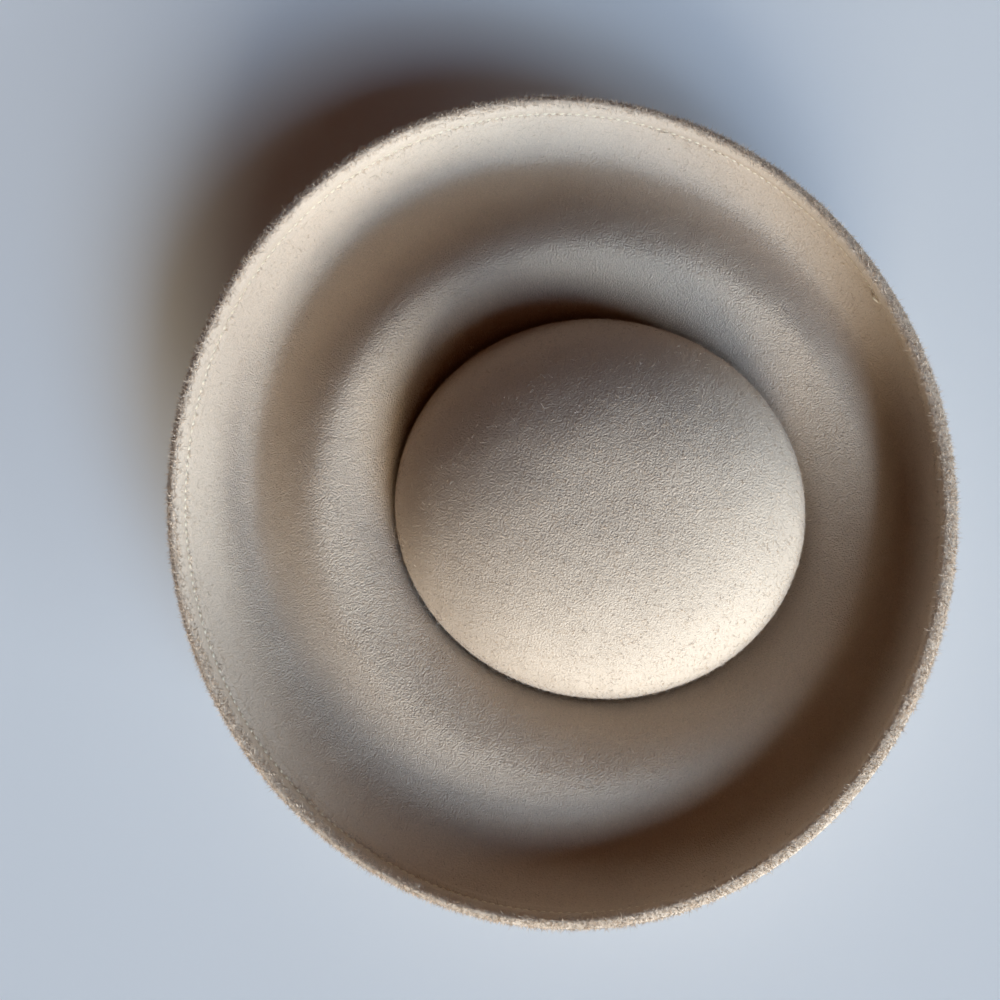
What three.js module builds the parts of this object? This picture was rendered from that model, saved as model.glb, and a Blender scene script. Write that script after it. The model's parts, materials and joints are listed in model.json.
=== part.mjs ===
// A felt halo hat at its real size, in millimetres, +Z up: a domed crown, and a wide brim that rises to
// a soft swell round the crown, dips to a valley and turns up to a hemmed rim.
// The front of the hat faces -Y. The origin is on the surface that the hat stands on, under the
// middle of the brim.
import * as THREE from "three";

// Felt
const FELT = 2.6; // thickness of the felt
const GAP = 0.3; // clearance between the two pieces

// Crown: an oval dome, open at the bottom
const CROWN_HALF_WIDTH = 93.5; // outside, side to side
const CROWN_HALF_LENGTH = 101; // outside, front to back
const CROWN_TOP = 115; // height of the dome's top above the surface
const CROWN_FULLNESS = 2.6; // power of the dome's section: 2 is an ellipse, more is squarer
const CROWN_BACK = 20; // how far the crown's middle lies behind the brim's
const CROWN_SIDE = -1; // how far it lies to the +X side of the brim's

// Collar: the inner edge of the brim, turned up inside the crown
const COLLAR_SHARE = 0.1; // its height as a share of the dome's

// Hem: the brim's edge, turned under and stitched down
const HEM_DEPTH = 10; // from the rim to the cut edge on the underside
const STITCH_LINE = 8; // from the rim to the row of stitches
const GROOVE_DEPTH = 0.7; // how far the stitches pull the felt in
const GROOVE_HALF_WIDTH = 1.6;

// Rings of the brim's upper face, from the crown out to the rim, in millimetres and degrees.
// Each is an oval: its long and short half axes, the turn of its long axis from +X, and its middle.
// z is its mean height, and tilt_x and tilt_y are how much higher it is at +X and at +Y. wave_x lifts it
// at both ends of the X axis and lowers it at both ends of Y, and wave_d does so on the diagonals.
const BRIM_RINGS = {
  fold: { long: 104, short: 97, turn: 90, x: -1, y: 20, z: 35, tilt_x: -2, tilt_y: -7, wave_x: 1, wave_d: 0 },
  crest: { long: 130, short: 123, turn: 90, x: 1, y: 19, z: 53, tilt_x: -2, tilt_y: -9, wave_x: 2, wave_d: 3 },
  valley: { long: 173, short: 160, turn: 36, x: -1, y: 10, z: 35, tilt_x: 5, tilt_y: 2, wave_x: 4, wave_d: 1 },
  wall: { long: 183, short: 171, turn: 13, x: 1, y: 5, z: 53, tilt_x: 7, tilt_y: 0, wave_x: -1, wave_d: 2 },
  rim: { long: 188, short: 174, turn: 5, x: 0, y: -2, z: 69, tilt_x: 7, tilt_y: 0, wave_x: -5, wave_d: 4 },
};

// Fineness of the faceted surfaces
const SECTIONS = 64; // round the hat
const BRIM_STEPS = 24; // from the crown to the hem
const ROUND_STEPS = 4; // round a folded edge
const DOME_SHARES = [0, COLLAR_SHARE, 0.25, 0.4, 0.54, 0.67, 0.78, 0.87, 0.935, 0.975, 0.995, 1];

// Felt's colour and finish
const FELT_COLOUR = 0xdcc8b2;
const FELT_ROUGHNESS = 0.95;

const UP = new THREE.Vector3(0, 0, 1);
const SEAT_HEIGHT = FELT; // top of the felt under the crown's lower edge
const CROWN_FOOT = SEAT_HEIGHT + GAP; // height of the crown's lower edge

// Outline of the dome at a share of its height, as a share of its radius there
function domeShare(heightShare) {
  return (1 - heightShare ** CROWN_FULLNESS) ** (1 / CROWN_FULLNESS);
}

// A point on the oval of the head, set in from the crown's outside by a distance
function headPoint(angle, inset, height) {
  const scale = (CROWN_HALF_LENGTH - inset) / CROWN_HALF_LENGTH;
  const x = CROWN_HALF_WIDTH * scale * Math.cos(angle);
  const y = CROWN_HALF_LENGTH * scale * Math.sin(angle);
  return new THREE.Vector3(x + CROWN_SIDE, y + CROWN_BACK, height);
}

// A point on one of the brim's rings
function ringPoint(ring, angle) {
  const turn = THREE.MathUtils.degToRad(ring.turn);
  const along = ring.long * Math.cos(angle - turn);
  const across = ring.short * Math.sin(angle - turn);
  const point = new THREE.Vector3(along, across, 0).applyAxisAngle(UP, turn);
  const tilt = ring.tilt_x * Math.cos(angle) + ring.tilt_y * Math.sin(angle);
  const wave = ring.wave_x * Math.cos(2 * angle) + ring.wave_d * Math.sin(2 * angle);
  return point.add(new THREE.Vector3(ring.x, ring.y, ring.z + tilt + wave));
}

// The brim's upper face at one angle round the hat, as a curve from the crown's edge to the rim
function brimCurve(angle) {
  const seat = headPoint(angle, -GAP, SEAT_HEIGHT);
  const rings = Object.values(BRIM_RINGS).map((ring) => ringPoint(ring, angle));
  return new THREE.CatmullRomCurve3([seat, ...rings]);
}

// A point of the brim at a distance in from the rim along its upper face, sunk below that face
function brimPoint(curve, angle, fromRim, sink) {
  const share = THREE.MathUtils.clamp(1 - fromRim / curve.getLength(), 0, 1);
  const along = curve.getTangentAt(share);
  const outward = new THREE.Vector3(Math.cos(angle), Math.sin(angle), 0);
  const normal = UP.clone().multiplyScalar(along.dot(outward)).addScaledVector(outward, -along.z);
  normal.normalize();
  return { point: curve.getPointAt(share).addScaledVector(normal, -sink), along, normal };
}

// Distances from the rim at which the brim's faces are sampled, from the crown out to an end
function brimStations(curve, end) {
  const reach = curve.getLength() - end;
  return Array.from({ length: BRIM_STEPS + 1 }, (_, step) => end + reach * (1 - step / BRIM_STEPS));
}

// The turned edge: a half round of two layers of felt, from the upper face to the hem's outside
function hemRound(curve, angle) {
  const { point, along, normal } = brimPoint(curve, angle, FELT, FELT);
  return Array.from({ length: ROUND_STEPS + 1 }, (_, step) => {
    const turn = (Math.PI * step) / ROUND_STEPS;
    const spoke = normal.clone().multiplyScalar(Math.cos(turn)).addScaledVector(along, Math.sin(turn));
    return point.clone().addScaledVector(spoke, FELT);
  });
}

// The bottom of the collar: flat where the hat stands, and rounded on the side of the head
function collarFoot(angle) {
  const outside = FELT + GAP;
  const roundFoot = Array.from({ length: ROUND_STEPS / 2 }, (_, step) => {
    const turn = (Math.PI * (step + 1)) / ROUND_STEPS;
    return headPoint(angle, outside + FELT * Math.sin(turn), FELT * (1 - Math.cos(turn)));
  });
  return [headPoint(angle, -GAP, 0), headPoint(angle, outside, 0), ...roundFoot];
}

// The closed section of the brim at one angle: up the collar's outside, out along the upper face,
// round the rim and back along the underside
function brimSection(angle) {
  const curve = brimCurve(angle);
  const dome = CROWN_HALF_LENGTH - FELT;
  const collarTop = CROWN_FOOT + COLLAR_SHARE * (CROWN_TOP - FELT - CROWN_FOOT);
  const collarLean = dome * (1 - domeShare(COLLAR_SHARE));
  const groove = [
    brimPoint(curve, angle, STITCH_LINE, GROOVE_DEPTH),
    brimPoint(curve, angle, STITCH_LINE - GROOVE_HALF_WIDTH, 0),
  ];
  const grooveStart = STITCH_LINE + GROOVE_HALF_WIDTH;
  const upper = brimStations(curve, grooveStart).map((at) => brimPoint(curve, angle, at, 0));
  const under = brimStations(curve, HEM_DEPTH).map((at) => brimPoint(curve, angle, at, FELT));
  return [
    headPoint(angle, 2 * FELT + GAP + collarLean, collarTop),
    headPoint(angle, FELT + GAP + collarLean, collarTop),
    headPoint(angle, FELT + GAP, SEAT_HEIGHT),
    ...upper.map((sample) => sample.point),
    ...groove.map((sample) => sample.point),
    ...hemRound(curve, angle),
    brimPoint(curve, angle, HEM_DEPTH, 2 * FELT).point,
    ...under.reverse().map((sample) => sample.point),
    ...collarFoot(angle),
  ];
}

// A closed skin through sections that follow each other round the hat
function skinSections(sections) {
  const size = sections[0].length;
  const positions = sections.flatMap((section) => section.flatMap((point) => point.toArray()));
  const triangles = [];
  sections.forEach((_, index) => {
    const here = index * size;
    const next = ((index + 1) % sections.length) * size;
    for (let k = 0; k < size; k += 1) {
      const after = (k + 1) % size;
      triangles.push(here + k, here + after, next + after);
      triangles.push(here + k, next + after, next + k);
    }
  });
  const geometry = new THREE.BufferGeometry();
  geometry.setAttribute("position", new THREE.Float32BufferAttribute(positions, 3));
  geometry.setIndex(triangles);
  geometry.computeVertexNormals();
  return geometry;
}

// One wall of the dome, from its lower edge to the top, set in from the outside
function domeWall(inset) {
  const radius = CROWN_HALF_LENGTH - inset;
  const height = CROWN_TOP - inset - CROWN_FOOT;
  return DOME_SHARES.map((share) => {
    return new THREE.Vector2(radius * domeShare(share), CROWN_FOOT + height * share);
  });
}

// The crown's shell: up the outside of a turned profile from the inside's top, made oval
function crownGeometry() {
  const profile = [...domeWall(FELT).reverse(), ...domeWall(0)];
  const geometry = new THREE.LatheGeometry(profile, SECTIONS);
  geometry.rotateX(Math.PI / 2);
  geometry.scale(CROWN_HALF_WIDTH / CROWN_HALF_LENGTH, 1, 1);
  return geometry;
}

function brimGeometry() {
  const angles = Array.from({ length: SECTIONS }, (_, index) => (2 * Math.PI * index) / SECTIONS);
  return skinSections(angles.map(brimSection));
}

function feltMesh(name, geometry) {
  const felt = new THREE.MeshStandardMaterial({
    color: FELT_COLOUR,
    roughness: FELT_ROUGHNESS,
    metalness: 0,
  });
  const mesh = new THREE.Mesh(geometry, felt);
  mesh.name = name;
  return mesh;
}

const hat = new THREE.Group();
hat.name = "halo_hat";
const crown = feltMesh("crown", crownGeometry());
crown.position.set(CROWN_SIDE, CROWN_BACK, 0);
hat.add(crown, feltMesh("brim", brimGeometry()));

export default hat;
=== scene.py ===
# A felt halo hat: blocked crown and brim, stitched hem, nap, floor, light and camera.
# Lengths are in metres, +Z is up and the front of the hat faces -Y.
import json
import math
from typing import Callable, NamedTuple

import bmesh
import bpy
import numpy as np
from bpy.props import FloatProperty, FloatVectorProperty, IntProperty, PointerProperty
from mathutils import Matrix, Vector


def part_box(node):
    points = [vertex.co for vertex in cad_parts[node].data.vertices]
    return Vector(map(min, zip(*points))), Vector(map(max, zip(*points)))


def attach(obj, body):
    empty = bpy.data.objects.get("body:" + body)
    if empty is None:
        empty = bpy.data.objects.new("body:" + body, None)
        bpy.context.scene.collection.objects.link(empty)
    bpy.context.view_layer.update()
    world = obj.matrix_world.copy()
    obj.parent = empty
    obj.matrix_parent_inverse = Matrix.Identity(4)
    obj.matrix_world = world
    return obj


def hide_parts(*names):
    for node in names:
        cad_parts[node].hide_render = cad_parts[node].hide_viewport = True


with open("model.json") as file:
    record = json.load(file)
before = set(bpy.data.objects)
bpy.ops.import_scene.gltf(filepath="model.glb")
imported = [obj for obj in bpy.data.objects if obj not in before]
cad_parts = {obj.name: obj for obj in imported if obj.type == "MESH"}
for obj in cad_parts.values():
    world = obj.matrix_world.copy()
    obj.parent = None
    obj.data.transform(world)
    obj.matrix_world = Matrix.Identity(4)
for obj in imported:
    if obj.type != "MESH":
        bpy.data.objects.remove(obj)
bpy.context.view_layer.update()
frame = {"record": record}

bl_info = {
    "name": "Halo hat",
    "version": (1, 0, 0),
    "blender": (4, 5, 0),
    "location": "3D View > Sidebar > Halo hat",
    "description": "Makes a felt halo hat with a stitched hem, its nap, a floor, light and a camera",
    "category": "Add Mesh",
}

CROWN_LOW, CROWN_HIGH = (Vector(corner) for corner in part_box("crown"))
FELT_COLOURS = {entry["slot"]: entry["base_color"] for entry in frame["record"]["materials"]}

UP = np.array((0.0, 0.0, 1.0))

# Fineness of the meshes
COLUMNS = 288  # points round every ring of felt
CURVE_STEPS = 48  # straight pieces between two rings of the brim's curve
TANGENT_STEP = 0.0005  # half of the span that gives the brim's direction at a point
DOME_STEPS = 52  # from the crown's lower edge to its top
BODY_STEPS = 56  # across the upper face or the underside of the brim
HEM_ROWS = 28  # rings over the hem's upper face
OUTSIDE_ROWS = 13  # rings down the hem's outside
FOLD_STEPS = 3  # between two points of the hem's fold
FOOT_ROWS = 5  # rings round each side of the collar's foot
COLLAR_ROWS = 4  # rings up the collar's outside
INNER_COLLAR_ROWS = 5  # rings up the collar's inside
SEAM_POINTS = 5 * COLUMNS  # points on the line of the stitches
THREAD_SIDES = 8
STITCH_RINGS = 7
END_RINGS = 12
SMOOTH_ANGLE = math.radians(50)  # edges that bend less are shaded smooth
MERGE_DISTANCE = 1e-6
LEAST_AREA = 1e-15
MOST_STRANDS = 49000  # fibres of four triangles that one piece can hold

# Small forms of the collar and the hem
EDGE = 0.0005  # bevel of a cut edge
COLLAR_TOP_STEP = 0.003  # from the collar's top to the first ring below its bevel, outside
COLLAR_FOOT_STEP = 0.002  # from the collar's rounded foot to the first ring above it, inside
HEM_EASE = 0.0035  # from the cut edge in to where the upper face is plain again
HEM_STEP = 0.0006  # from the plain face, or from the fold, to the hem's next ring
CREST_STEP = 0.0004  # from the last ring of the hem's upper face to the fold
UNDER_STEP = 0.001  # from the cut edge to the underside's first ring
GROOVE_HALF_WIDTH = 0.0008
UPPER_PUFF = 0.0009  # how far the hem swells on its upper face
UPPER_PUFF_HALF_WIDTH = 0.0026
OUTER_PUFF_HALF_WIDTH = 0.0019
MARK_HEIGHT = 0.00018  # of the mark that the cut edge leaves on the upper face
MARK_SETBACK = 0.0012  # from the cut edge in to its mark
MARK_HALF_WIDTH = 0.0010
SLIT_GAP = 0.0001  # between the turned layer and the underside
SLIT_LIP = 0.0004  # how far the slit's mouth is rounded
SLIT_DEPTH = 0.002

# Where blocking leaves the felt true
HELD_FOOT = 0.2  # share of the crown's height, from its lower edge
HELD_BAND = 0.012  # from the rim and from the crown
HELD_FADE = 0.02  # width over which the brim's dents grow to their full height

# Where the brim's felt goes from smooth to rough, as shares of the wall band
SMOOTH_TO = 0.375
ROUGH_FROM = 0.75

# The thread's lie
THREAD_FLATNESS = 0.4  # thickness of the thread as a share of its width
BELLY = 0.25  # how much fatter a thread is at its middle
STITCH_SINK = 0.4  # share of its rise by which a stitch is sunk in the felt
STITCH_SPREAD = 0.06  # of a stitch's turn, in radians, and of its length, as a share
TACK_PITCH = 0.8  # spacing of the back-tack's stitches as a share of the seam's
END_WIDTH = 1.4  # width of the loose end as a share of a stitch's
END_RISE = 1 / 5  # how far the loose end's middle stands up, as a share of its length
END_CURL = 1 / 6  # how far its tips bend aside, as a share of its length

# The fibres' lie, with lifts from the felt in radians
LYING = 0.30
HANGING = 0.35
STANDING = 0.60
LIFT_SPREAD = 0.25
LIFT_RANGE = (0.05, 1.3)
LENGTH_RANGE = (0.3, 2.2)  # as shares of a common fibre's length
LENGTH_SPREAD = (-0.1, 0.45)  # mean and deviation of the logarithm of that share
WIDTH_RANGE = (0.6, 1.2)  # as shares of a common fibre's width
ROOT_DEPTH = 0.00015  # how deep the fibres are rooted
RIM_FACING = -0.75  # least outward share of the normal in the rim's fuzz
FLOOR_CLEARANCE = 2.5  # fibre lengths above the floor that carry no nap

# Tones of the fibres as shares of the felt's colour
DARKEST_FIBRE = 0.65
# the rim fibres' darker low end is partly random tone and partly painted shade for the shaded fuzz at the
# rim
DARKEST_RIM_FIBRE_TONE_AND_PAINTED_SHADE = 0.45
LIGHTEST_FIBRE = 1.30
# the rim's fibres are made lighter than the felt, a painted highlight for the lit fuzz along the rim
RIM_FIBRE_PAINTED_HIGHLIGHT = 1.17


class Ring(NamedTuple):
    """An oval of the brim's upper face"""

    name: str
    long: float  # half axis
    short: float  # half axis
    turn: float  # of the long axis from +X, in degrees
    x: float  # place of its middle
    y: float
    z: float  # mean height
    tilt_x: float  # how much higher it is at +X
    tilt_y: float  # how much higher it is at +Y
    wave_x: float  # lift at both ends of the X axis, and drop at both ends of Y
    wave_d: float  # the same on the diagonals


# The brim's rings from the crown out to the rim, in the columns that Ring names
BRIM_RINGS = (
    Ring("fold", 0.104, 0.097, 90, -0.001, 0.020, 0.035, -0.002, -0.007, 0.001, 0.000),
    Ring("crest", 0.130, 0.123, 90, 0.001, 0.019, 0.053, -0.002, -0.009, 0.002, 0.003),
    Ring("valley", 0.173, 0.160, 36, -0.001, 0.010, 0.035, 0.005, 0.002, 0.004, 0.001),
    Ring("wall", 0.183, 0.171, 13, 0.001, 0.005, 0.053, 0.007, 0.000, -0.001, 0.002),
    Ring("rim", 0.188, 0.174, 5, 0.000, -0.002, 0.069, 0.007, 0.000, -0.005, 0.004),
)


class FoldPoint(NamedTuple):
    """A point of the hem's fold in section"""

    back: float  # in from the rim along the upper face
    out: float  # out from the upper face to the hem's outside; below 0 it stands proud of the upper face


# The hem's fold, from the upper face over the crest and down its outside
HEM_FOLD = (
    FoldPoint(0.0026, -0.0007),
    FoldPoint(0.0012, -0.0003),
    FoldPoint(0.0003, 0.0003),
    FoldPoint(0.0000, 0.0012),
    FoldPoint(0.0004, 0.0025),
    FoldPoint(0.0013, 0.0041),
    FoldPoint(0.0026, 0.0054),
    FoldPoint(0.0041, 0.0062),
    FoldPoint(0.0056, 0.0064),
)


class Lamp(NamedTuple):
    """A wide soft light"""

    name: str
    azimuth: float  # degrees from +X towards +Y
    elevation: float  # degrees above the floor
    width: float  # degrees across, seen from the hat
    red: float  # strength in each colour
    green: float
    blue: float


# The studio's lights, in the columns that Lamp names
LAMPS = (
    Lamp("left_low", 20, 16, 28, 2.25, 2.00, 1.53),
    Lamp("left_high", 20, 38, 28, 0.36, 0.33, 0.27),
    Lamp("middle_cool", 35, 26, 28, 0.68, 0.99, 1.45),
    Lamp("middle_high", 50, 38, 28, 0.60, 0.86, 1.18),
    Lamp("right_low", 65, 6, 28, 2.20, 2.52, 2.72),
)


# Settings
def length_setting(name, description, default):
    return FloatProperty(
        name=name, description=description, default=default, unit="LENGTH", precision=5
    )


def share_setting(name, description, default):
    return FloatProperty(
        name=name, description=description, default=default, subtype="FACTOR", min=0.0, max=1.0
    )


def colour_setting(name, description, default):
    return FloatVectorProperty(
        name=name, description=description, default=default, size=3, subtype="COLOR"
    )


def place_setting(name, description, default):
    return FloatVectorProperty(
        name=name, description=description, default=default, size=3, subtype="TRANSLATION"
    )


class HaloHatFelt(bpy.types.PropertyGroup):
    """The felt of the crown and the brim"""

    thickness: length_setting("Thickness", "Thickness of the felt", 0.0026)
    clearance: length_setting("Clearance", "Gap between crown and brim", 0.0003)
    crown_colour: colour_setting("Crown colour", "Colour of the crown's felt", FELT_COLOURS["crown_felt"])
    brim_colour: colour_setting("Brim colour", "Colour of the brim's felt", FELT_COLOURS["brim_felt"])
    relief: length_setting("Relief", "Height of the fibre clumps on rough felt", 0.0010)
    crown_roughness: share_setting("Crown roughness", "Relief of the crown as a share of rough felt's", 0.5)
    wall_roughness: share_setting("Wall roughness", "Relief near the rim as a share of rough felt's", 0.25)
    unevenness: length_setting("Unevenness", "Height of the soft dents left by blocking", 0.0006)
    dent_size: length_setting("Dent size", "Width of the soft dents", 0.02)


class HaloHatCrown(bpy.types.PropertyGroup):
    """The domed crown"""

    half_width: length_setting("Half width", "Outside, side to side", (CROWN_HIGH.x - CROWN_LOW.x) / 2)
    half_length: length_setting("Half length", "Outside, front to back", (CROWN_HIGH.y - CROWN_LOW.y) / 2)
    middle: place_setting(
        "Middle", "Middle of the crown's lower edge",
        ((CROWN_HIGH.x + CROWN_LOW.x) / 2, (CROWN_HIGH.y + CROWN_LOW.y) / 2, CROWN_LOW.z),
    )
    top: length_setting("Top", "Height of the dome's top", CROWN_HIGH.z)
    fullness: FloatProperty(
        name="Fullness", description="Power of the dome's section: 2 is an ellipse, more is squarer",
        default=2.6,
    )


class HaloHatBrim(bpy.types.PropertyGroup):
    """The brim's collar, hem and stitch line"""

    collar: length_setting("Collar", "Height of the collar inside the crown", 0.01385)
    hem: length_setting("Hem", "From the rim to the hem's cut edge", 0.010)
    stitch_line: length_setting("Stitch line", "From the rim to the row of stitches", 0.008)
    groove: length_setting("Groove", "How far the stitches pull the felt in", 0.0005)
    puff: length_setting("Puff", "How far the hem swells on its outside", 0.0012)


class HaloHatThread(bpy.types.PropertyGroup):
    """The hem's thread"""

    pitch: length_setting("Pitch", "From one stitch to the next", 0.0039)
    length: length_setting("Length", "Length of the thread at each stitch", 0.0034)
    width: length_setting("Width", "Width of the thread, which lies flat", 0.0009)
    rise: length_setting("Rise", "How far a stitch's middle stands above its ends", 0.0006)
    colour: colour_setting("Colour", "Colour of the thread", (0.97, 0.86, 0.67))
    end_angle: FloatProperty(
        name="End angle", description="Where round the hat the seam ends", default=math.radians(131.5),
        unit="ROTATION",
    )
    end_length: length_setting("End length", "Length of the loose end", 0.0056)
    tack_stitches: IntProperty(
        name="Tack stitches", description="Stitches sewn back over the seam's end", default=5, min=0
    )


class HaloHatNap(bpy.types.PropertyGroup):
    """The loose fibres on the felt"""

    strands: IntProperty(
        name="Strands", description="Fibres on each open stretch of felt", default=36000, min=0,
        max=MOST_STRANDS,
    )
    rim_strands: IntProperty(
        name="Rim strands", description="Fibres along the rim", default=48000, min=0, max=MOST_STRANDS
    )
    rim_size: FloatProperty(
        name="Rim size", description="Size of the rim's fibres as a share of the others'", default=1.15
    )
    length: length_setting("Length", "Length of a common fibre", 0.0016)
    width: length_setting("Width", "Half the thickness of a fibre at its root", 0.00013)
    rim_band: length_setting("Rim band", "Width of the fuzzy band at the rim", 0.0100)
    wall_band: length_setting("Wall band", "From the rim to the middle of the valley", 0.055)
    seed: IntProperty(name="Seed", description="Start of the random draws", default=7)


class HaloHatStage(bpy.types.PropertyGroup):
    """Floor, light and camera"""

    floor_colour: colour_setting("Floor colour", "Colour of the floor", (0.80, 0.83, 0.86))
    floor_size: length_setting("Floor size", "Length of the floor's side", 60.0)
    light_strength: FloatProperty(
        name="Light", description="Factor on the strength of every light", default=1.0
    )
    ambient: colour_setting("Ambient", "Faint light from all round", (0.045, 0.016, 0.007))
    backdrop: colour_setting("Backdrop", "What shows beyond the floor", (0.62, 0.64, 0.67))
    camera_place: place_setting("Camera place", "Where the camera stands", (0.0095, -0.014, 0.525))
    camera_turn: FloatVectorProperty(
        name="Camera turn", description="How the camera is turned from looking straight down", size=3,
        subtype="EULER", default=(math.radians(1.0), math.radians(1.45), math.radians(100)),
    )
    lens: FloatProperty(
        name="Lens", description="Focal length of the camera", default=36.0, unit="CAMERA"
    )
    sensor: FloatProperty(
        name="Sensor", description="Width of the camera's sensor", default=36.0, unit="CAMERA"
    )


class HaloHatSettings(bpy.types.PropertyGroup):
    """All of the hat's settings"""

    felt: PointerProperty(name="Felt", description="Felt of the crown and the brim", type=HaloHatFelt)
    crown: PointerProperty(name="Crown", description="The domed crown", type=HaloHatCrown)
    brim: PointerProperty(name="Brim", description="Collar, hem and stitch line", type=HaloHatBrim)
    thread: PointerProperty(name="Thread", description="The hem's thread", type=HaloHatThread)
    nap: PointerProperty(name="Nap", description="Loose fibres on the felt", type=HaloHatNap)
    stage: PointerProperty(name="Stage", description="Floor, light and camera", type=HaloHatStage)


# Points and lines of the hat
def ring_angles(count):
    """Even angles round the hat"""
    return np.linspace(0, 2 * math.pi, count, endpoint=False)


def unit(vectors):
    """The vectors at a length of 1"""
    return vectors / np.linalg.norm(vectors, axis=-1, keepdims=True)


def hump(distance, middle, half_width):
    """A soft hump of height 1 across a line"""
    return math.exp(-(((distance - middle) / half_width) ** 2))


def ring_points(ring, angles):
    """Points on one of the brim's rings"""
    turn = math.radians(ring.turn)
    along = ring.long * np.cos(angles - turn)
    across = ring.short * np.sin(angles - turn)
    tilt = ring.tilt_x * np.cos(angles) + ring.tilt_y * np.sin(angles)
    wave = ring.wave_x * np.cos(2 * angles) + ring.wave_d * np.sin(2 * angles)
    x = ring.x + along * math.cos(turn) - across * math.sin(turn)
    y = ring.y + along * math.sin(turn) + across * math.cos(turn)
    return np.stack((x, y, ring.z + tilt + wave), axis=-1)


def head_points(crown, angles, inset, height):
    """Points on the oval of the head, set in from the crown's outside"""
    scale = (crown.half_length - inset) / crown.half_length
    x = crown.middle[0] + crown.half_width * scale * np.cos(angles)
    y = crown.middle[1] + crown.half_length * scale * np.sin(angles)
    return np.stack((x, y, np.full_like(angles, height)), axis=-1)


def from_rim(points):
    """Straight distances from the rim"""
    angles = np.arctan2(points[:, 1], points[:, 0])
    return np.linalg.norm(points - ring_points(BRIM_RINGS[-1], angles), axis=-1)


def from_crown(crown, points):
    """Distances out from the crown's lower edge, seen from above"""
    place = (points - np.array(crown.middle))[:, :2] / (crown.half_width, crown.half_length)
    return (np.linalg.norm(place, axis=-1) - 1) * crown.half_width


def smooth_line(controls, steps):
    """A centripetal Catmull-Rom line through rows of points, one line for each column"""
    first = 2 * controls[:1] - controls[1:2]
    last = 2 * controls[-1:] - controls[-2:-1]
    points = np.concatenate((first, controls, last))
    knots = np.sqrt(np.linalg.norm(np.diff(points, axis=0), axis=-1, keepdims=True))
    share = np.linspace(0, 1, steps, endpoint=False)[:, None, None]
    pieces = []
    for p0, p1, p2, p3, d0, d1, d2 in zip(
        points, points[1:], points[2:], points[3:], knots, knots[1:], knots[2:]
    ):
        leave = ((p1 - p0) / d0 - (p2 - p0) / (d0 + d1) + (p2 - p1) / d1) * d1
        arrive = ((p2 - p1) / d1 - (p3 - p1) / (d1 + d2) + (p3 - p2) / d2) * d1
        square = 3 * (p2 - p1) - 2 * leave - arrive
        cube = 2 * (p1 - p2) + leave + arrive
        pieces.append(p1 + leave * share + square * share**2 + cube * share**3)
    return np.concatenate((*pieces, controls[-1:]))


class BrimCurve:
    """The brim's upper face: a line from the crown's edge to the rim at each of some angles"""

    def __init__(self, settings, angles):
        felt = settings.felt
        seat = head_points(settings.crown, angles, -felt.clearance, felt.thickness)
        controls = np.stack([seat, *(ring_points(ring, angles) for ring in BRIM_RINGS)])
        self.line = smooth_line(controls, CURVE_STEPS)
        spans = np.linalg.norm(np.diff(self.line, axis=0), axis=-1)
        self.reach = np.concatenate((np.zeros((1, len(angles))), np.cumsum(spans, axis=0)))
        self.length = self.reach[-1]
        self.outward = np.stack((np.cos(angles), np.sin(angles), np.zeros_like(angles)), axis=-1)

    def points(self, distance):
        """Points of the upper face at a distance from the rim"""
        target = np.clip(self.length - distance, 0, self.length)
        after = np.clip((self.reach < target).sum(axis=0), 1, len(self.line) - 1)
        column = np.arange(len(target))
        low = self.reach[after - 1, column]
        high = self.reach[after, column]
        share = ((target - low) / (high - low))[:, None]
        return self.line[after - 1, column] * (1 - share) + self.line[after, column] * share

    def axes(self, distance):
        """The direction out to the rim and the upper face's normal"""
        along = unit(self.points(distance - TANGENT_STEP) - self.points(distance + TANGENT_STEP))
        flat = np.sum(along * self.outward, axis=-1, keepdims=True)
        return along, unit(UP * flat - self.outward * along[:, 2:])

    def face(self, distance, lift):
        """Points at a distance from the rim, lifted off the upper face or, below 0, sunk under it"""
        _, normal = self.axes(distance)
        return self.points(distance) + normal * lift


# The brim's section
def groove_depth(brim, distance):
    """How far the felt is drawn in by the stitches at a distance from the rim"""
    return brim.groove * hump(distance, brim.stitch_line, GROOVE_HALF_WIDTH)


def hem_relief(brim, distance):
    """Height of the hem's puff, its groove and the mark of its cut edge on the upper face"""
    puff = UPPER_PUFF * hump(distance, 0.5 * brim.stitch_line, UPPER_PUFF_HALF_WIDTH)
    mark = MARK_HEIGHT * hump(distance, brim.hem + MARK_SETBACK, MARK_HALF_WIDTH)
    return puff + mark - groove_depth(brim, distance)


def hem_outside(settings, distance):
    """How far the hem's outside lies from the upper face at a distance from the rim"""
    puff = settings.brim.puff * hump(distance, HEM_FOLD[-1].back, OUTER_PUFF_HALF_WIDTH)
    return 2 * settings.felt.thickness + puff - groove_depth(settings.brim, distance)


def hem_rows(settings, curve):
    """Rings of the hem: over its upper face, round the fold, down the outside and into the slit"""
    felt = settings.felt.thickness
    hem = settings.brim.hem
    upper = np.linspace(hem + HEM_EASE - HEM_STEP, HEM_FOLD[0].back + CREST_STEP, HEM_ROWS)
    outside = np.linspace(HEM_FOLD[-1].back + HEM_STEP, hem - EDGE, OUTSIDE_ROWS)
    fold = smooth_line(np.array(HEM_FOLD)[:, None], FOLD_STEPS)[:, 0]
    section = [(distance, hem_relief(settings.brim, distance)) for distance in upper]
    section += [(back, -out) for back, out in fold]
    section += [(distance, -hem_outside(settings, distance)) for distance in outside]
    section += [(hem, EDGE - 2 * felt), (hem, -felt - EDGE), (hem - SLIT_LIP, -felt - 2 * SLIT_GAP)]
    section += [(hem - SLIT_DEPTH, -felt - SLIT_GAP), (hem - SLIT_DEPTH, -felt), (hem, -felt)]
    return [curve.face(distance, lift) for distance, lift in section]


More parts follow.
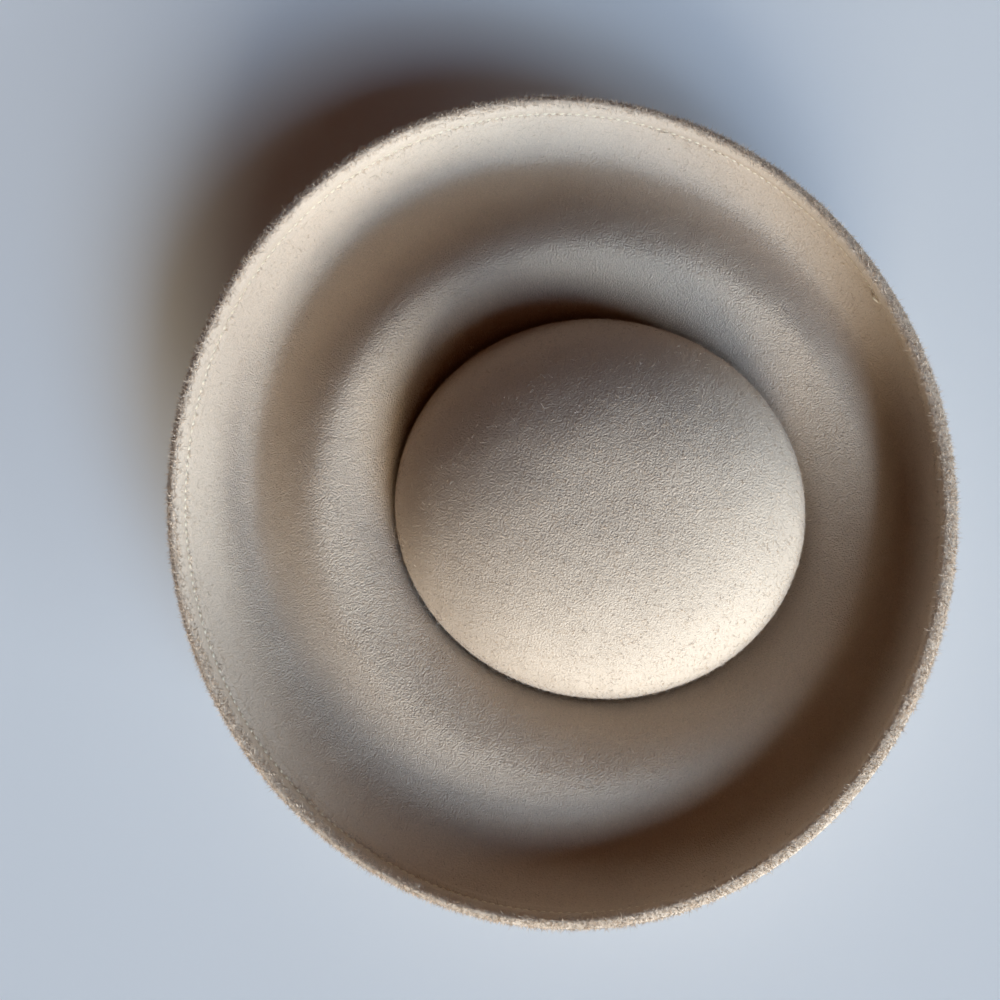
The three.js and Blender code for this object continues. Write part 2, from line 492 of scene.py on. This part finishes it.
def brim_rows(settings):
    """Rings of the brim's skin: over the collar, out along the upper face, round the rim and back"""
    felt = settings.felt.thickness
    gap = settings.felt.clearance
    brim = settings.brim
    angles = ring_angles(COLUMNS)
    curve = BrimCurve(settings, angles)
    collar_outer = felt + gap
    collar_inner = 2 * felt + gap
    collar_heights = np.linspace(brim.collar - COLLAR_TOP_STEP, felt + EDGE, COLLAR_ROWS)
    inner_heights = np.linspace(felt + COLLAR_FOOT_STEP, brim.collar - EDGE, INNER_COLLAR_ROWS)
    quarter = np.linspace(0, math.pi / 2, FOOT_ROWS + 1)[1:]
    inwards = np.linspace(0, 1, BODY_STEPS + 1)
    outwards = np.linspace(1, 0, BODY_STEPS + 1)

    def head(inset, height):
        return head_points(settings.crown, angles, inset, height)

    def body(start, lift, shares):
        return [curve.face(start + (curve.length - start) * share, lift) for share in shares]

    rows = [head(collar_outer + EDGE, brim.collar), head(collar_outer, brim.collar - EDGE)]
    rows += [head(collar_outer, height) for height in collar_heights]
    rows += [head(collar_outer, felt), head(felt / 2, felt)]
    rows += body(brim.hem + HEM_EASE, 0, outwards)
    rows += hem_rows(settings, curve)
    rows += body(brim.hem + UNDER_STEP, -felt, inwards)
    rows += [head(-gap - felt * math.cos(turn), felt - felt * math.sin(turn)) for turn in quarter]
    rows += [head(collar_outer / 2, 0), head(collar_outer, 0)]
    rows += [head(collar_outer + felt * math.sin(turn), felt - felt * math.cos(turn)) for turn in quarter]
    rows += [head(collar_inner, height) for height in inner_heights]
    rows += [head(collar_inner - EDGE, brim.collar)]
    return rows


# Work on any piece
def deselect_all():
    """Leaves edit mode with nothing selected"""
    if bpy.context.object and bpy.context.object.mode != "OBJECT":
        bpy.ops.object.mode_set(mode="OBJECT")
    bpy.ops.object.select_all(action="DESELECT")


def lay_ring(piece, row):
    """Puts the selected ring of a piece on a row of points"""
    skin = bmesh.from_edit_mesh(piece.data)
    column = skin.verts.layers.int["column"]
    for vert in skin.verts:
        if vert.select:
            vert.co = row[vert[column]]
    bmesh.update_edit_mesh(piece.data)


def put_in_order(piece):
    """Sorts the points by place and the faces by their points; the tools leave them in no fixed order"""
    skin = bmesh.from_edit_mesh(piece.data)
    count = len(skin.verts)
    rank = {place: number for number, place in enumerate(sorted(tuple(vert.co) for vert in skin.verts))}

    def face_number(face):
        first, second, third = sorted(vert.index for vert in face.verts)[:3]
        return (first * count + second) * count + third

    skin.verts.sort(key=lambda vert: rank[tuple(vert.co)])
    skin.verts.index_update()
    skin.faces.sort(key=face_number)
    skin.faces.index_update()
    bmesh.update_edit_mesh(piece.data)


def extruded_rings(name, rows):
    """A closed skin: one ring of points extruded through the rows and joined to its start"""
    deselect_all()
    columns = len(rows[0])
    bpy.ops.mesh.primitive_circle_add(vertices=columns, radius=1)
    piece = bpy.context.object
    piece.name = name
    piece.data.name = name
    bpy.ops.object.mode_set(mode="EDIT")
    bpy.ops.mesh.select_mode(type="VERT")
    bpy.ops.mesh.select_all(action="SELECT")
    skin = bmesh.from_edit_mesh(piece.data)
    column = skin.verts.layers.int.new("column")
    for vert in skin.verts:
        vert[column] = round(math.atan2(vert.co.y, vert.co.x) * columns / (2 * math.pi)) % columns
    lay_ring(piece, rows[0])
    for row in [*rows[1:], rows[0]]:
        bpy.ops.mesh.extrude_region()
        lay_ring(piece, row)
    bpy.ops.mesh.select_all(action="SELECT")
    bpy.ops.mesh.remove_doubles(threshold=MERGE_DISTANCE)
    bpy.ops.mesh.normals_make_consistent(inside=False)
    put_in_order(piece)
    bpy.ops.object.mode_set(mode="OBJECT")
    bpy.ops.object.shade_smooth_by_angle(angle=SMOOTH_ANGLE)
    return piece


def apply_modifiers(piece):
    """Makes a piece's modifiers part of its mesh"""
    deselect_all()
    piece.select_set(True)
    bpy.context.view_layer.objects.active = piece
    for modifier in list(piece.modifiers):
        bpy.ops.object.modifier_apply(modifier=modifier.name)


def mesh_points(mesh):
    """The places of a mesh's points"""
    places = np.empty(len(mesh.vertices) * 3)
    mesh.vertices.foreach_get("co", places)
    return places.reshape(-1, 3)


def roughen(piece, share):
    """Stores how rough the felt is at each point, as a share of rough felt's relief"""
    rough = piece.data.attributes.new("rough", "FLOAT", "POINT")
    rough.data.foreach_set("value", np.broadcast_to(share, len(piece.data.vertices)).astype(np.float32))


def uneven(piece, felt, freedom, direction):
    """Soft dents, as deep as the freedom of the points allows"""
    free = piece.vertex_groups.new(name="free")
    for index, share in enumerate(np.clip(freedom(mesh_points(piece.data)), 0.0, 1.0)):
        free.add([index], share, "REPLACE")
    dents = bpy.data.textures.new("dents", "CLOUDS")
    dents.noise_scale = felt.dent_size
    dents.noise_depth = 1
    move = piece.modifiers.new("dents", "DISPLACE")
    move.texture = dents
    move.texture_coords = "LOCAL"
    move.strength = felt.unevenness
    move.mid_level = 0.5
    move.direction = direction
    move.vertex_group = free.name


def dress(piece, material, node=None):
    """Gives a piece its material and ties it to the frame"""
    piece.data.materials.clear()
    piece.data.materials.append(material)
    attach(piece, "root")
    if node:
        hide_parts(node)


# Materials
def new_material(name):
    """A new material with its nodes and links"""
    material = bpy.data.materials.new(name)
    material.use_nodes = True
    return material, material.node_tree.nodes, material.node_tree.links


def set_sockets(node, values):
    """Sets constant values on a node's own sockets"""
    for socket, value in values.items():
        node.inputs[socket].default_value = value


def point_value(nodes, name):
    """A value that is stored on the points of the mesh"""
    node = nodes.new("ShaderNodeAttribute")
    node.attribute_name = name
    return node.outputs["Fac"]


def noise(nodes, links, coordinates, scale, detail):
    """Soft random values from 0 to 1"""
    texture = nodes.new("ShaderNodeTexNoise")
    set_sockets(texture, {"Scale": scale, "Detail": detail, "Roughness": 0.5})
    links.new(coordinates, texture.inputs["Vector"])
    return texture.outputs["Fac"]


def remap(nodes, links, value, old, new):
    """A value carried from an old range to a new one"""
    node = nodes.new("ShaderNodeMapRange")
    links.new(value, node.inputs["Value"])
    set_sockets(node, {"From Min": old[0], "From Max": old[1], "To Min": new[0], "To Max": new[1]})
    return node.outputs["Result"]


def product(nodes, links, first, second):
    """One value times another"""
    node = nodes.new("ShaderNodeMath")
    node.operation = "MULTIPLY"
    links.new(first, node.inputs[0])
    links.new(second, node.inputs[1])
    return node.outputs["Value"]


def shaded(nodes, links, colour, value):
    """A colour made lighter or darker by a value"""
    node = nodes.new("ShaderNodeMix")
    node.data_type = "RGBA"
    node.blend_type = "MULTIPLY"
    set_sockets(node, {"Factor": 1.0, "A": (*colour, 1.0)})
    grey = nodes.new("ShaderNodeCombineColor")
    for socket in grey.inputs[:3]:
        links.new(value, socket)
    links.new(grey.outputs["Color"], node.inputs["B"])
    return node.outputs["Result"]


def raised(nodes, links, height, distance):
    """Normals of a surface that is raised by a height from 0 to 1 times a distance"""
    bump = nodes.new("ShaderNodeBump")
    set_sockets(bump, {"Strength": 1.0, "Distance": distance})
    links.new(height, bump.inputs["Height"])
    return bump.outputs["Normal"]


def felt_material(name, colour, relief):
    """Wool felt: soft mottling and a grain of small clumps of fibre"""
    material, nodes, links = new_material(name)
    place = nodes.new("ShaderNodeTexCoord").outputs["Object"]
    mottle = noise(nodes, links, place, scale=28.0, detail=3.0)
    grain = noise(nodes, links, place, scale=1300.0, detail=1.0)
    mottle_tone = remap(nodes, links, mottle, old=(0.3, 0.7), new=(0.96, 1.03))
    grain_tone = remap(nodes, links, grain, old=(0.25, 0.75), new=(0.92, 1.07))
    tone = product(nodes, links, mottle_tone, grain_tone)
    clumps = product(nodes, links, grain, point_value(nodes, "rough"))
    shader = nodes["Principled BSDF"]
    links.new(shaded(nodes, links, colour, tone), shader.inputs["Base Color"])
    links.new(raised(nodes, links, clumps, relief), shader.inputs["Normal"])
    set_sockets(shader, {
        "Roughness": 1.0,
        "Specular IOR Level": 0.15,
        "Sheen Weight": 0.12,
        "Sheen Roughness": 0.5,
        "Sheen Tint": (1.0, 0.93, 0.84, 1.0),
    })
    return material


def nap_material(name, colour, darkest):
    """Loose wool fibres, each a little lighter or darker"""
    material, nodes, links = new_material(name)
    fibre = point_value(nodes, "tone")
    tone = remap(nodes, links, fibre, old=(0.0, 1.0), new=(darkest, LIGHTEST_FIBRE))
    shader = nodes["Principled BSDF"]
    links.new(shaded(nodes, links, colour, tone), shader.inputs["Base Color"])
    set_sockets(shader, {"Roughness": 0.8, "Specular IOR Level": 0.25})
    return material


def thread_material(name, colour):
    """Twisted sewing thread with a soft shine"""
    material, nodes, links = new_material(name)
    place = nodes.new("ShaderNodeTexCoord").outputs["UV"]
    twist = nodes.new("ShaderNodeMapping")
    set_sockets(twist, {"Rotation": (0.0, 0.0, math.radians(35)), "Scale": (3.0, 5.0, 1.0)})
    links.new(place, twist.inputs["Vector"])
    wave = nodes.new("ShaderNodeTexWave")
    set_sockets(wave, {"Scale": 1.0, "Distortion": 0.4})
    links.new(twist.outputs["Vector"], wave.inputs["Vector"])
    plies = wave.outputs["Fac"]
    tone = remap(nodes, links, plies, old=(0.0, 1.0), new=(0.86, 1.05))
    shader = nodes["Principled BSDF"]
    links.new(shaded(nodes, links, colour, tone), shader.inputs["Base Color"])
    links.new(raised(nodes, links, plies, distance=0.00008), shader.inputs["Normal"])
    set_sockets(shader, {"Roughness": 0.42, "Sheen Weight": 0.1})
    return material


def floor_material(name, colour):
    """A smooth matt floor with hardly any mottling"""
    material, nodes, links = new_material(name)
    place = nodes.new("ShaderNodeTexCoord").outputs["Object"]
    mottle = noise(nodes, links, place, scale=3.0, detail=2.0)
    tone = remap(nodes, links, mottle, old=(0.3, 0.7), new=(0.985, 1.01))
    shader = nodes["Principled BSDF"]
    links.new(shaded(nodes, links, colour, tone), shader.inputs["Base Color"])
    set_sockets(shader, {"Roughness": 0.7, "Specular IOR Level": 0.2})
    return material


# Crown and brim
def dome_rings(crown):
    """Height and size share of each ring of the dome between its lower edge and its top"""
    power = 2 / crown.fullness
    for turn in np.linspace(0, math.pi / 2, DOME_STEPS + 1)[1:-1]:
        height = crown.middle[2] + (crown.top - crown.middle[2]) * math.sin(turn) ** power
        yield height, math.cos(turn) ** power


def crown_felt(settings):
    """The crown: a ring extruded up the dome from its lower edge, closed at the top and thickened"""
    crown = settings.crown
    deselect_all()
    middle = Vector(crown.middle)
    bpy.ops.mesh.primitive_circle_add(vertices=COLUMNS, radius=crown.half_length, location=middle)
    piece = bpy.context.object
    piece.name = "felt_crown"
    piece.data.name = "felt_crown"
    bpy.ops.object.transform_apply(location=True, rotation=True, scale=True)
    bpy.ops.object.mode_set(mode="EDIT")
    bpy.ops.mesh.select_all(action="SELECT")
    oval = (crown.half_width / crown.half_length, 1.0, 1.0)
    bpy.ops.transform.resize(value=oval, center_override=middle)
    height, size = middle.z, 1.0
    for next_height, next_size in dome_rings(crown):
        share = next_size / size
        centre = (middle.x, middle.y, next_height)
        bpy.ops.mesh.extrude_region()
        bpy.ops.transform.translate(value=(0.0, 0.0, next_height - height))
        bpy.ops.transform.resize(value=(share, share, 1.0), center_override=centre)
        height, size = next_height, next_size
    bpy.ops.mesh.extrude_region()
    bpy.ops.transform.translate(value=(0.0, 0.0, crown.top - height))
    bpy.ops.mesh.merge(type="CENTER")
    bpy.ops.mesh.select_all(action="SELECT")
    bpy.ops.mesh.normals_make_consistent(inside=False)
    put_in_order(piece)
    bpy.ops.object.mode_set(mode="OBJECT")
    foot = middle.z + HELD_FOOT * (crown.top - middle.z)
    uneven(piece, settings.felt, lambda points: (points[:, 2] - foot) / foot, "NORMAL")
    wall = piece.modifiers.new("wall", "SOLIDIFY")
    wall.thickness = settings.felt.thickness
    wall.offset = -1.0
    apply_modifiers(piece)
    bpy.ops.object.shade_smooth_by_angle(angle=SMOOTH_ANGLE)
    return piece


def brim_felt(settings):
    """The brim: a ring extruded through its section, with soft dents away from the rim and the crown"""
    piece = extruded_rings("felt_brim", brim_rows(settings))

    def freedom(points):
        return (np.minimum(from_rim(points), from_crown(settings.crown, points)) - HELD_BAND) / HELD_FADE

    uneven(piece, settings.felt, freedom, "Z")
    apply_modifiers(piece)
    return piece


# Stitches
class StitchLine:
    """The line of the stitches along the hem's groove, on one of its faces"""

    def __init__(self, settings, lift):
        angles = ring_angles(SEAM_POINTS)
        curve = BrimCurve(settings, angles)
        distance = np.full(len(angles), settings.brim.stitch_line)
        line = curve.face(distance, lift)
        _, normal = curve.axes(distance)
        if lift < -settings.felt.thickness:
            normal = -normal
        self.angles = np.append(angles, 2 * math.pi)
        self.line = np.concatenate((line, line[:1]))
        self.normals = np.concatenate((normal, normal[:1]))
        spans = np.linalg.norm(np.diff(self.line, axis=0), axis=-1)
        self.reach = np.concatenate(((0.0,), np.cumsum(spans)))
        self.count = round(self.reach[-1] / settings.thread.pitch)
        self.pitch = self.reach[-1] / self.count

    def reach_at(self, angle):
        """Distance along the line at an angle round the hat"""
        return np.interp(angle, self.angles, self.reach)

    def sample(self, table, at):
        """Rows of a table at distances along the line"""
        return np.stack([np.interp(at, self.reach, table[:, axis]) for axis in range(3)], axis=-1)

    def frames(self, at):
        """Place, along, across and up at distances along the line"""
        step = self.pitch / 4
        along = unit(self.sample(self.line, at + step) - self.sample(self.line, at - step))
        up = self.sample(self.normals, at)
        up = unit(up - along * np.sum(up * along, axis=-1, keepdims=True))
        return self.sample(self.line, at), along, np.cross(up, along), up


def drawn_thread(length, width, rise, curl, rings):
    """A thread lying along X: a ball drawn out flat, with its middle raised and its ends bent aside"""
    deselect_all()
    bpy.ops.mesh.primitive_uv_sphere_add(segments=THREAD_SIDES, ring_count=rings, radius=0.5)
    thread = bpy.context.object
    bpy.ops.object.mode_set(mode="EDIT")
    bpy.ops.mesh.select_all(action="SELECT")
    centre = (0.0, 0.0, 0.0)
    bpy.ops.transform.rotate(value=math.pi / 2, orient_axis="Y", center_override=centre)
    bpy.ops.transform.resize(value=(length, width, THREAD_FLATNESS * width), center_override=centre)
    ball = bmesh.from_edit_mesh(thread.data)
    for vert in ball.verts:
        reach = 2 * vert.co.x / length
        fatter = 1 + BELLY * (1 - reach**2)
        vert.co.y = vert.co.y * fatter + curl * reach**2
        vert.co.z = vert.co.z * fatter + rise * (1 - reach**2)
    bmesh.update_edit_mesh(thread.data)
    put_in_order(thread)
    bpy.ops.object.mode_set(mode="OBJECT")
    return thread


def copies(name, stitch, places):
    """One mesh with a copy of a stitch at each place, along and across the places' own axes"""
    source = stitch.data
    count = len(source.vertices)
    shape = mesh_points(source)
    points, along, across, up = places
    corners = (
        points[:, None]
        + shape[None, :, :1] * along[:, None]
        + shape[None, :, 1:2] * across[:, None]
        + shape[None, :, 2:] * up[:, None]
    )
    faces = [tuple(face.vertices) for face in source.polygons]
    all_faces = [tuple(v + count * copy for v in face) for copy in range(len(points)) for face in faces]
    mesh = bpy.data.meshes.new(name)
    mesh.from_pydata(corners.reshape(-1, 3).tolist(), [], all_faces)
    twist = np.empty(len(source.loops) * 2)
    source.uv_layers.active.data.foreach_get("uv", twist)
    mesh.uv_layers.new(name="thread").data.foreach_set("uv", np.tile(twist, len(points)))
    mesh.polygons.foreach_set("use_smooth", [True] * len(mesh.polygons))
    piece = bpy.data.objects.new(name, mesh)
    bpy.context.collection.objects.link(piece)
    return piece


def lay_threads(name, thread, places, sink, rng):
    """Copies of a thread at places along a stitch line, a little uneven; the thread itself is used up"""
    points, along, across, up = places
    yaw = rng.normal(0.0, STITCH_SPREAD, (len(points), 1))
    stretch = rng.normal(1.0, STITCH_SPREAD, (len(points), 1))
    turned = along * np.cos(yaw) + across * np.sin(yaw)
    aside = across * np.cos(yaw) - along * np.sin(yaw)
    piece = copies(name, thread, (points - up * sink, turned * stretch, aside, up))
    bpy.data.objects.remove(thread)
    return piece


def lay_stitches(name, thread, places, rng):
    """Stitches of a thread at places along a stitch line"""
    stitch = drawn_thread(thread.length, thread.width, thread.rise, 0.0, STITCH_RINGS)
    return lay_threads(name, stitch, places, STITCH_SINK * thread.rise, rng)


def seam(settings, side, lift, stitch_material):
    """The row of stitches on one face of the hem"""
    line = StitchLine(settings, lift)
    rng = np.random.default_rng(settings.nap.seed)
    middles = (np.arange(line.count) + 0.5) * line.pitch
    row = lay_stitches(f"hem_stitches_{side}", settings.thread, line.frames(middles), rng)
    dress(row, stitch_material)


def seam_end(settings, stitch_material):
    """The seam's end on the upper face: stitches sewn back over it, and a loose end that stands up"""
    thread = settings.thread
    line = StitchLine(settings, -settings.brim.groove)
    rng = np.random.default_rng(settings.nap.seed)
    start = line.reach_at(thread.end_angle)
    at = start + (np.arange(thread.tack_stitches) - 1) * line.pitch * TACK_PITCH
    points, along, across, up = line.frames(at)
    beside = points + across * thread.width
    tack = lay_stitches("back_tack", thread, (beside, along, across, up), rng)
    dress(tack, stitch_material)
    length = thread.end_length
    end = drawn_thread(length, thread.width * END_WIDTH, length * END_RISE, length * END_CURL, END_RINGS)
    on_top = -thread.width
    loose = lay_threads("loose_end", end, line.frames(np.array((start,))), on_top, rng)
    dress(loose, stitch_material)


# Nap
class NapStretch(NamedTuple):
    """A stretch of felt and the fibres on it"""

    name: str
    felt: bpy.types.Object  # piece that carries the fibres
    wanted: Callable  # which of its triangles carry them
    strands: int
    lift: float  # mean angle of a fibre from the felt
    size: float  # size of a fibre as a share of a common one's
    fibre: bpy.types.Material
    slot: str


def on_crown(settings, centres, normals):
    """The crown's outside"""
    return np.sum((centres - np.array(settings.crown.middle)) * normals, axis=-1) > 0


def on_swell(settings, centres, normals):
    """The brim's upper face from the crown to the valley"""
    clear = from_crown(settings.crown, centres) > 0.0
    return (normals[:, 2] > 0) & (from_rim(centres) > settings.nap.wall_band) & clear


def on_rim(settings, centres, normals):
    """The band over the rim"""
    outward = np.sum(unit(centres[:, :2]) * normals[:, :2], axis=-1)
    return (from_rim(centres) <= settings.nap.rim_band) & (outward > RIM_FACING)


def on_wall(settings, centres, normals):
    """The brim's upper face from the valley to the rim's band, clear of the stitches"""
    distance = from_rim(centres)
    clear = np.abs(distance - settings.brim.stitch_line) > 2 * settings.thread.width
    below_rim = ~on_rim(settings, centres, normals)
    return (normals[:, 2] > 0) & below_rim & (distance <= settings.nap.wall_band) & clear


def on_under(settings, centres, normals):
    """The brim's underside, clear of the floor"""
    nap = settings.nap
    clear = (from_crown(settings.crown, centres) > 0.0) & (centres[:, 2] > FLOOR_CLEARANCE * nap.length)
    return (normals[:, 2] < 0) & (from_rim(centres) > nap.rim_band) & clear


def mesh_triangles(mesh):
    """The corners' places of a mesh's triangles, in the order of its points"""
    mesh.calc_loop_triangles()
    numbers = np.empty(len(mesh.loop_triangles) * 3, dtype=np.int32)
    mesh.loop_triangles.foreach_get("vertices", numbers)
    numbers = numbers.reshape(-1, 3)
    lowest_first = (numbers.argmin(axis=1)[:, None] + np.arange(3)) % 3
    numbers = np.take_along_axis(numbers, lowest_first, axis=1)
    return mesh_points(mesh)[numbers[np.lexsort(numbers.T[::-1])]]


def scatter(settings, stretch, rng):
    """Seeded points on the wanted triangles of a stretch, evenly by area, with the surface's normals"""
    count = stretch.strands
    triangles = mesh_triangles(stretch.felt.data)
    cross = np.cross(triangles[:, 1] - triangles[:, 0], triangles[:, 2] - triangles[:, 0])
    area = np.linalg.norm(cross, axis=-1)
    normal = cross / np.maximum(area, LEAST_AREA)[:, None]
    weight = area * stretch.wanted(settings, triangles.mean(axis=1), normal)
    chosen = rng.choice(len(triangles), size=count, p=weight / weight.sum())
    share = np.sqrt(rng.random((count, 1)))
    side = rng.random((count, 1))
    a, b, c = (triangles[chosen, corner] for corner in range(3))
    return a * (1 - share) + b * share * (1 - side) + c * share * side, normal[chosen]


def nap_strands(settings, stretch, rng):
    """Tapered fibres that lean over from their roots, as one mesh"""
    roots, normals = scatter(settings, stretch, rng)
    count = len(roots)
    common_length = stretch.size * settings.nap.length
    common_width = stretch.size * settings.nap.width
    side = unit(np.cross(normals, rng.normal(size=(count, 3))))
    other = np.cross(normals, side)
    rise = np.clip(rng.normal(stretch.lift, LIFT_SPREAD, (count, 1)), *LIFT_RANGE)
    length = common_length * np.clip(rng.lognormal(*LENGTH_SPREAD, (count, 1)), *LENGTH_RANGE)
    width = common_width * rng.uniform(*WIDTH_RANGE, (count, 1))
    tip = roots + length * (side * np.cos(rise) + normals * np.sin(rise))
    sunk = roots - normals * ROOT_DEPTH
    base = [sunk + width * (other * math.cos(turn) + normals * math.sin(turn)) for turn in ring_angles(3)]
    corners = np.stack((*base, tip), axis=1).reshape(-1, 3)
    faces = np.array(((0, 1, 3), (1, 2, 3), (2, 0, 3), (0, 2, 1)))
    indices = (np.arange(count)[:, None, None] * 4 + faces[None]).reshape(-1, 3)
    mesh = bpy.data.meshes.new(stretch.name)
    mesh.from_pydata(corners.tolist(), [], indices.tolist())
    tone = mesh.attributes.new("tone", "FLOAT", "POINT")
    tone.data.foreach_set("value", np.repeat(rng.random(count), 4))
    piece = bpy.data.objects.new(stretch.name, mesh)
    bpy.context.collection.objects.link(piece)
    return piece


# Light
def soft_sun(lamp, factor):
    """A wide soft light from a direction"""
    colour = Vector((lamp.red, lamp.green, lamp.blue))
    light = bpy.data.lights.new(lamp.name, "SUN")
    light.angle = math.radians(lamp.width)
    light.energy = factor * max(colour)
    light.color = colour / max(colour)
    sun = bpy.data.objects.new(lamp.name, light)
    turn, rise = math.radians(lamp.azimuth), math.radians(lamp.elevation)
    towards = Vector((math.cos(rise) * math.cos(turn), math.cos(rise) * math.sin(turn), math.sin(rise)))
    sun.rotation_euler = towards.to_track_quat("Z", "Y").to_euler()
    bpy.context.collection.objects.link(sun)


def studio_world(stage):
    """Faint light from all round, with a pale backdrop where the camera sees past the floor"""
    world = bpy.data.worlds.new("studio")
    world.use_nodes = True
    nodes, links = world.node_tree.nodes, world.node_tree.links
    ambient = nodes["Background"]
    ambient.inputs["Color"].default_value = (*stage.ambient, 1.0)
    backdrop = nodes.new("ShaderNodeBackground")
    backdrop.inputs["Color"].default_value = (*stage.backdrop, 1.0)
    either = nodes.new("ShaderNodeMixShader")
    links.new(nodes.new("ShaderNodeLightPath").outputs["Is Camera Ray"], either.inputs["Fac"])
    links.new(ambient.outputs["Background"], either.inputs[1])
    links.new(backdrop.outputs["Background"], either.inputs[2])
    links.new(either.outputs["Shader"], nodes["World Output"].inputs["Surface"])
    return world


# Steps of the making
class HALO_HAT_OT_crown(bpy.types.Operator):
    """Makes the crown's felt dome"""

    bl_idname = "halo_hat.crown"
    bl_label = "Crown"

    def execute(self, context):
        settings = context.scene.halo_hat
        felt = settings.felt
        material = felt_material("crown felt", felt.crown_colour, felt.relief)
        piece = crown_felt(settings)
        roughen(piece, felt.crown_roughness)
        dress(piece, material, "crown")
        return {"FINISHED"}


class HALO_HAT_OT_brim(bpy.types.Operator):
    """Makes the brim with its collar and hem"""

    bl_idname = "halo_hat.brim"
    bl_label = "Brim"

    def execute(self, context):
        settings = context.scene.halo_hat
        felt = settings.felt
        material = felt_material("brim felt", felt.brim_colour, felt.relief)
        piece = brim_felt(settings)
        share = from_rim(mesh_points(piece.data)) / settings.nap.wall_band
        roughen(piece, np.interp(share, (SMOOTH_TO, ROUGH_FROM), (felt.wall_roughness, 1.0)))
        dress(piece, material, "brim")
        return {"FINISHED"}


class HALO_HAT_OT_stitches(bpy.types.Operator):
    """Sews the hem: a row of stitches on its upper face and one on its outside, and the seam's end"""

    bl_idname = "halo_hat.stitches"
    bl_label = "Stitches"

    def execute(self, context):
        settings = context.scene.halo_hat
        stitch_material = thread_material("hem thread", settings.thread.colour)
        stitch_line = settings.brim.stitch_line
        seam(settings, "upper", -settings.brim.groove, stitch_material)
        seam(settings, "outer", -hem_outside(settings, stitch_line), stitch_material)
        seam_end(settings, stitch_material)
        return {"FINISHED"}


class HALO_HAT_OT_nap(bpy.types.Operator):
    """Covers the felt with loose fibres, most of them along the rim"""

    bl_idname = "halo_hat.nap"
    bl_label = "Nap"

    def execute(self, context):
        settings = context.scene.halo_hat
        nap = settings.nap
        felt = settings.felt
        crown = bpy.data.objects["felt_crown"]
        brim = bpy.data.objects["felt_brim"]
        # the rim's fibres get a lightened colour: painted highlight for the lit fuzz on the rim
        rim_colour_with_painted_highlight = [RIM_FIBRE_PAINTED_HIGHLIGHT * share for share in felt.brim_colour]
        crown_fibre = nap_material("crown fibre", felt.crown_colour, DARKEST_FIBRE)
        brim_fibre = nap_material("brim fibre", felt.brim_colour, DARKEST_FIBRE)
        # the rim fibres reach darker tones: partly random tone, partly painted shade of the fuzz at the rim
        rim_fibre = nap_material("rim fibre", rim_colour_with_painted_highlight, DARKEST_RIM_FIBRE_TONE_AND_PAINTED_SHADE)
        stretches = (
            NapStretch("crown_nap", crown, on_crown, nap.strands, LYING, 1.0, crown_fibre, "crown_felt"),
            NapStretch("swell_nap", brim, on_swell, nap.strands, LYING, 1.0, brim_fibre, "brim_felt"),
            NapStretch("wall_nap", brim, on_wall, nap.strands, LYING, 1.0, brim_fibre, "brim_felt"),
            NapStretch(
                "rim_nap", brim, on_rim, nap.rim_strands, STANDING, nap.rim_size, rim_fibre, "brim_felt"
            ),
            NapStretch("under_nap", brim, on_under, nap.strands, HANGING, 1.0, brim_fibre, "brim_felt"),
        )
        rng = np.random.default_rng(nap.seed)
        for stretch in stretches:
            dress(nap_strands(settings, stretch, rng), stretch.fibre)
        return {"FINISHED"}


class HALO_HAT_OT_stage(bpy.types.Operator):
    """Lays the floor, sets the soft lights and places the camera"""

    bl_idname = "halo_hat.stage"
    bl_label = "Stage"

    def execute(self, context):
        stage = context.scene.halo_hat.stage
        deselect_all()
        bpy.ops.mesh.primitive_plane_add(size=stage.floor_size)
        floor = bpy.context.object
        floor.name = "floor"
        floor.data.materials.append(floor_material("pale floor", stage.floor_colour))
        for lamp in LAMPS:
            soft_sun(lamp, stage.light_strength)
        context.scene.world = studio_world(stage)
        context.scene.view_settings.view_transform = "Standard"
        lens = bpy.data.cameras.new("camera")
        lens.lens = stage.lens
        lens.sensor_width = stage.sensor
        camera = bpy.data.objects.new("camera", lens)
        camera.location = stage.camera_place
        camera.rotation_euler = stage.camera_turn
        context.collection.objects.link(camera)
        context.scene.camera = camera
        return {"FINISHED"}


OPERATORS = (
    HALO_HAT_OT_crown,
    HALO_HAT_OT_brim,
    HALO_HAT_OT_stitches,
    HALO_HAT_OT_nap,
    HALO_HAT_OT_stage,
)


class HALO_HAT_PT_panel(bpy.types.Panel):
    """The hat's steps and settings"""

    bl_idname = "HALO_HAT_PT_panel"
    bl_label = "Halo hat"
    bl_space_type = "VIEW_3D"
    bl_region_type = "UI"
    bl_category = "Halo hat"

    def draw(self, context):
        layout = self.layout
        settings = context.scene.halo_hat
        for operator in OPERATORS:
            layout.operator(operator.bl_idname)
        for part in settings.bl_rna.properties:
            if part.type == "POINTER" and part.identifier != "rna_type":
                box = layout.box()
                box.label(text=part.name)
                group = getattr(settings, part.identifier)
                for value in group.bl_rna.properties:
                    if value.identifier not in {"name", "rna_type"}:
                        box.prop(group, value.identifier)


CLASSES = (
    HaloHatFelt,
    HaloHatCrown,
    HaloHatBrim,
    HaloHatThread,
    HaloHatNap,
    HaloHatStage,
    HaloHatSettings,
    *OPERATORS,
    HALO_HAT_PT_panel,
)


def register():
    for cls in CLASSES:
        bpy.utils.register_class(cls)
    bpy.types.Scene.halo_hat = PointerProperty(type=HaloHatSettings)


def unregister():
    del bpy.types.Scene.halo_hat
    for cls in reversed(CLASSES):
        bpy.utils.unregister_class(cls)


def main():
    register()
    bpy.ops.halo_hat.crown()
    bpy.ops.halo_hat.brim()
    bpy.ops.halo_hat.stitches()
    bpy.ops.halo_hat.nap()
    bpy.ops.halo_hat.stage()


if __name__ == "__main__":
    main()
